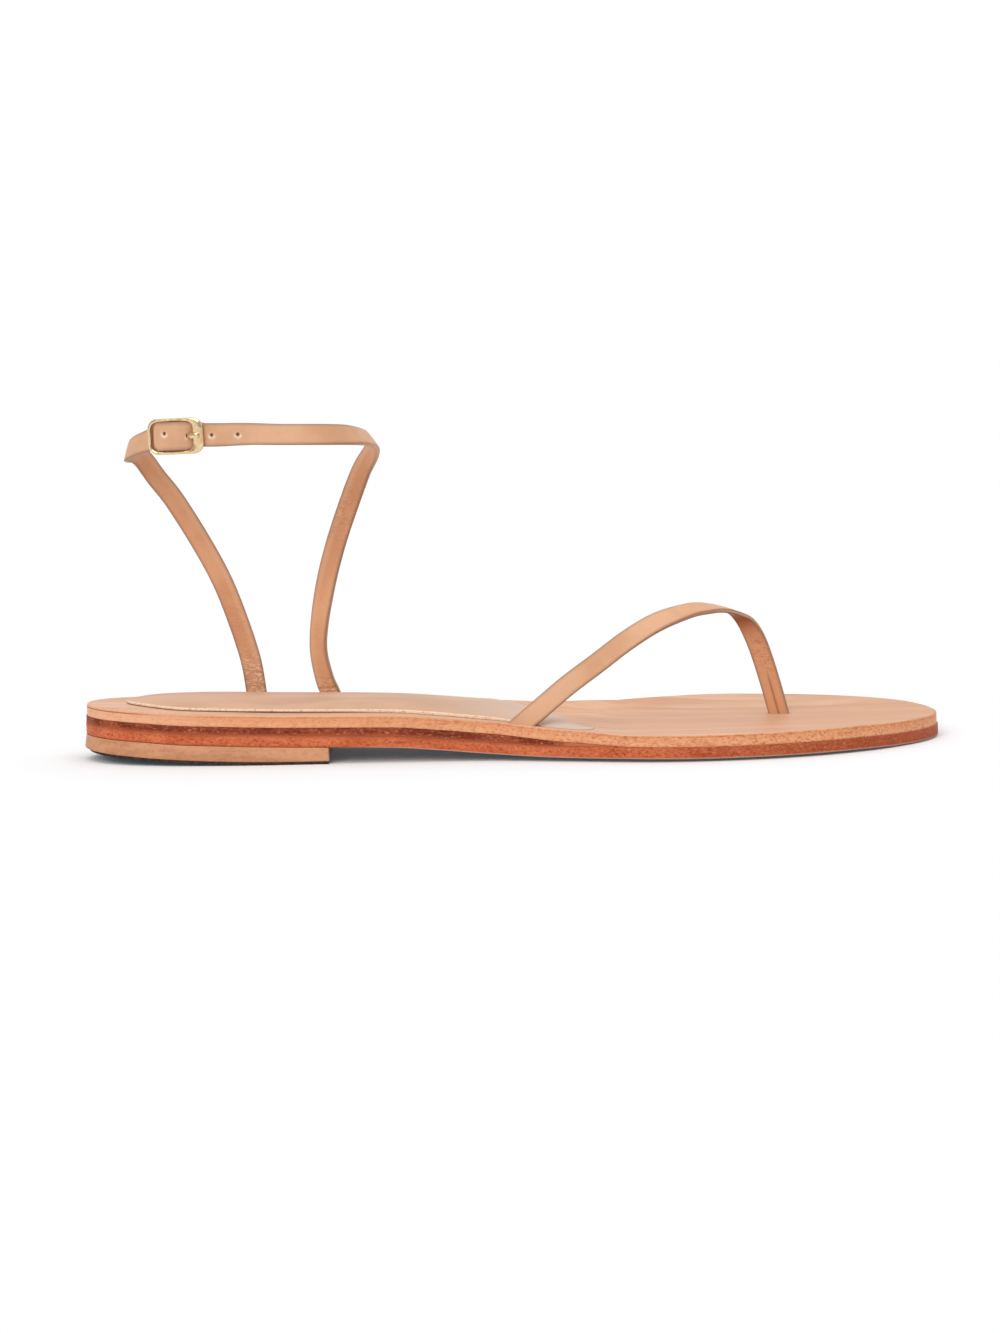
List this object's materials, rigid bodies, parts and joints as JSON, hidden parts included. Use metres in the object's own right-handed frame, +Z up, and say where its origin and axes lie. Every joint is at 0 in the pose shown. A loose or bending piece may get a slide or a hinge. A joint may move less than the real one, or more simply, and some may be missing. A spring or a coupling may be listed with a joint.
{
  "type": "sandal",
  "caption": "Flat leather toe-post sandal for the right foot, with a thin diagonal toe strap, a buckled ankle strap, a layered sole and a low stacked heel.",
  "frame": {"origin": "on the floor, at the middle of the sandal's length and width", "axes": "+X from heel to toe, -Y to the outer side of the foot, +Z up"},
  "size_m": [0.2498, 0.0916, 0.1003],
  "materials": {
    "strap_leather": "smooth tan leather",
    "footbed_leather": "smooth tan leather with lengthwise streaks",
    "insole_leather": "soft matte leather over thin padding",
    "wedge_leather": "dark stained cut edge",
    "sole_leather": "red-brown stained sole leather with a fibrous cut edge",
    "heel_leather": "tan heel leather with a mottled cut edge",
    "heel_rubber": "matte dark rubber",
    "buckle_brass": "polished pale gold"
  },
  "bodies": {
    "root": {"heel_top_piece": "heel_rubber", "heel_lift": "heel_leather", "outsole": "sole_leather", "midsole_wedge": "wedge_leather", "footbed": "footbed_leather", "sock_lining": "insole_leather", "toe_strap": "strap_leather", "ankle_strap_front": "strap_leather", "ankle_strap_rear": "strap_leather", "buckle_frame": "buckle_brass", "buckle_prong": "buckle_brass"}
  },
  "joints": []
}
